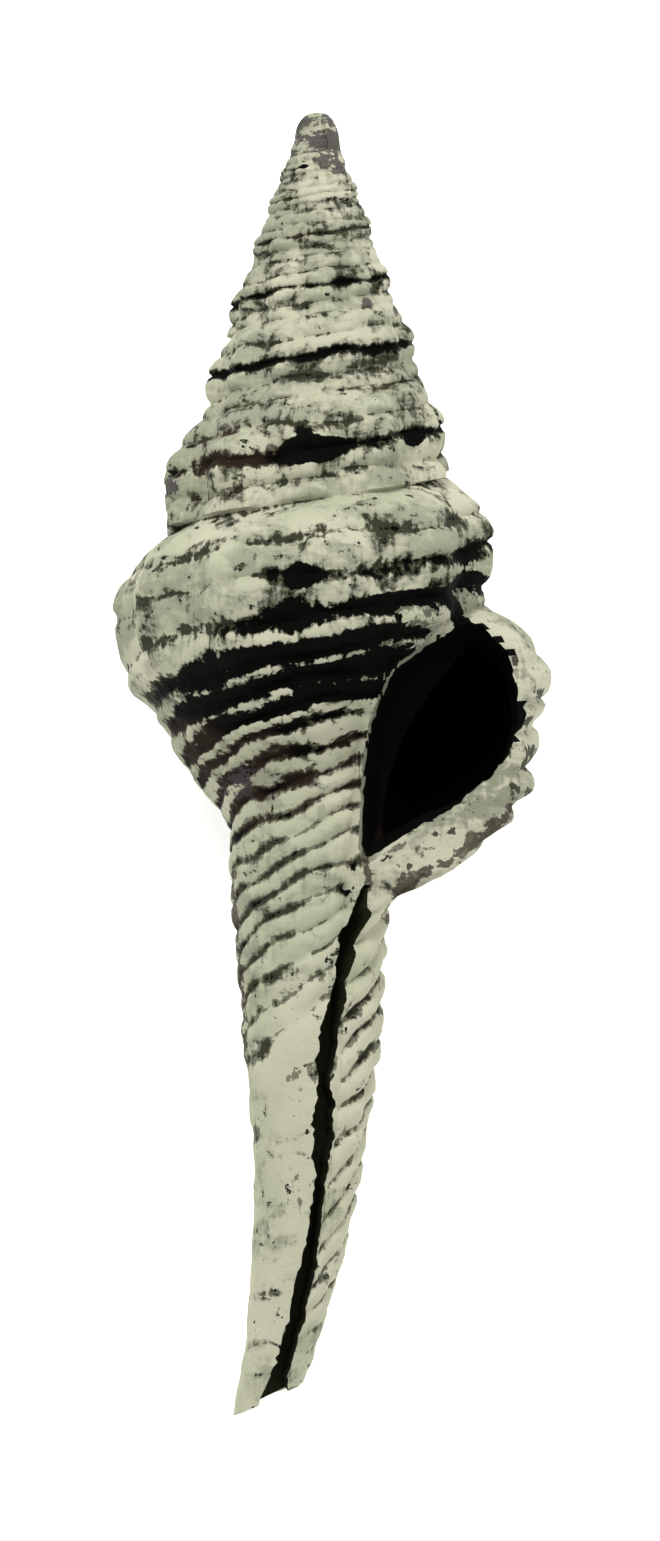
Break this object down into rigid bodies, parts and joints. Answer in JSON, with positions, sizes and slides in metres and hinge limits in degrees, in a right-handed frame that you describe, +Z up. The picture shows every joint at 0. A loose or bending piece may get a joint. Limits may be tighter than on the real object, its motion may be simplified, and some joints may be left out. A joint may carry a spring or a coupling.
{
  "type": "fossil spindle shell",
  "caption": "Fossil spindle shell lying on its back: tall ribbed and corded spire, open oval aperture facing up, and a long slit siphonal canal bent at its tip.",
  "frame": {"origin": "centre of the bounding box's base, on the surface the shell lies on", "axes": "+Y along the shell towards its apex, +Z up out of the aperture side, +X towards the outer lip"},
  "size_m": [0.0274, 0.0778, 0.0255],
  "materials": {
    "shell": "chalky, worn, with dark matrix in the grooves"
  },
  "bodies": {
    "root": {"shell": "shell"}
  },
  "joints": []
}
